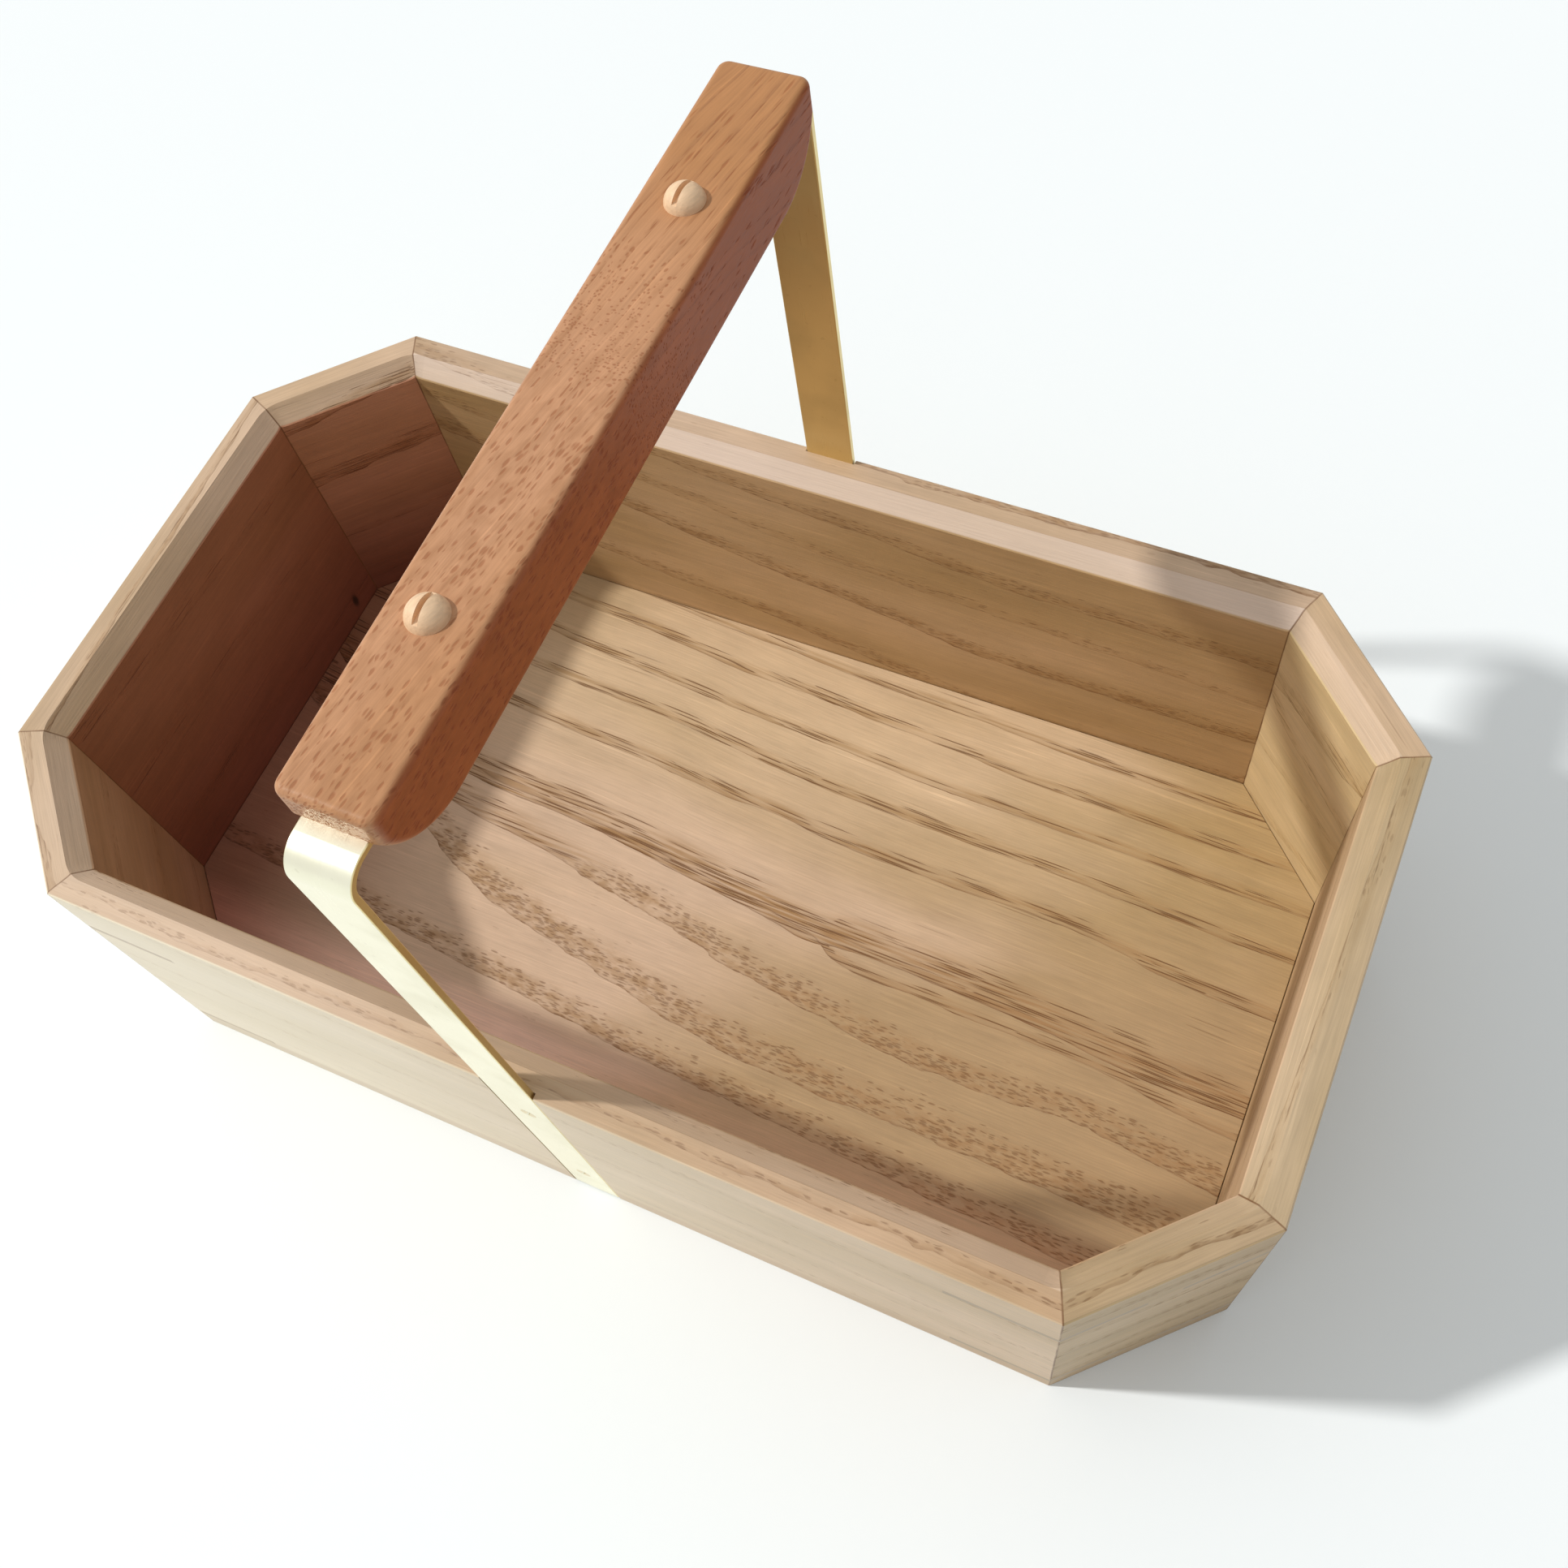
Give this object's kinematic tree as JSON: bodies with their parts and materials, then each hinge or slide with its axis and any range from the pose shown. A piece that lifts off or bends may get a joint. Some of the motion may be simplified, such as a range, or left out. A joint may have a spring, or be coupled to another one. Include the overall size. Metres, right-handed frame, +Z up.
{
  "type": "trug garden basket",
  "caption": "Long octagonal wooden tray with mitred upright walls and a bevelled rim, carried by a U-shaped brass strap under a rounded hardwood grip.",
  "frame": {"origin": "middle of the tray's underside, on the surface it stands on", "axes": "+X along the tray's length, +Y across it along the grip, +Z up"},
  "size_m": [0.4, 0.225, 0.2752],
  "materials": {
    "tray_wood": "oiled, satin",
    "key_wood": "oiled, satin",
    "grip_wood": "oiled, satin",
    "grip_screw_wood": "satin",
    "strap_brass": "satin",
    "screw_brass": "satin"
  },
  "bodies": {
    "root": {"side_board_near": "tray_wood", "side_board_far": "tray_wood", "end_board_left": "tray_wood", "end_board_right": "tray_wood", "corner_board_near_left": "tray_wood", "corner_board_near_right": "tray_wood", "corner_board_far_left": "tray_wood", "corner_board_far_right": "tray_wood", "floor_board": "tray_wood", "mitre_keys_near_side_left": "key_wood", "mitre_keys_near_side_right": "key_wood", "mitre_keys_right_end_near": "key_wood", "mitre_keys_right_end_far": "key_wood", "mitre_keys_far_side_right": "key_wood", "mitre_keys_far_side_left": "key_wood", "mitre_keys_left_end_far": "key_wood", "mitre_keys_left_end_near": "key_wood", "handle_strap": "strap_brass", "grip_upper_half": "grip_wood", "grip_lower_half": "grip_wood", "grip_screw_near": "grip_screw_wood", "grip_screw_far": "grip_screw_wood", "strap_screws_near": "screw_brass", "strap_screws_far": "screw_brass"}
  },
  "joints": []
}
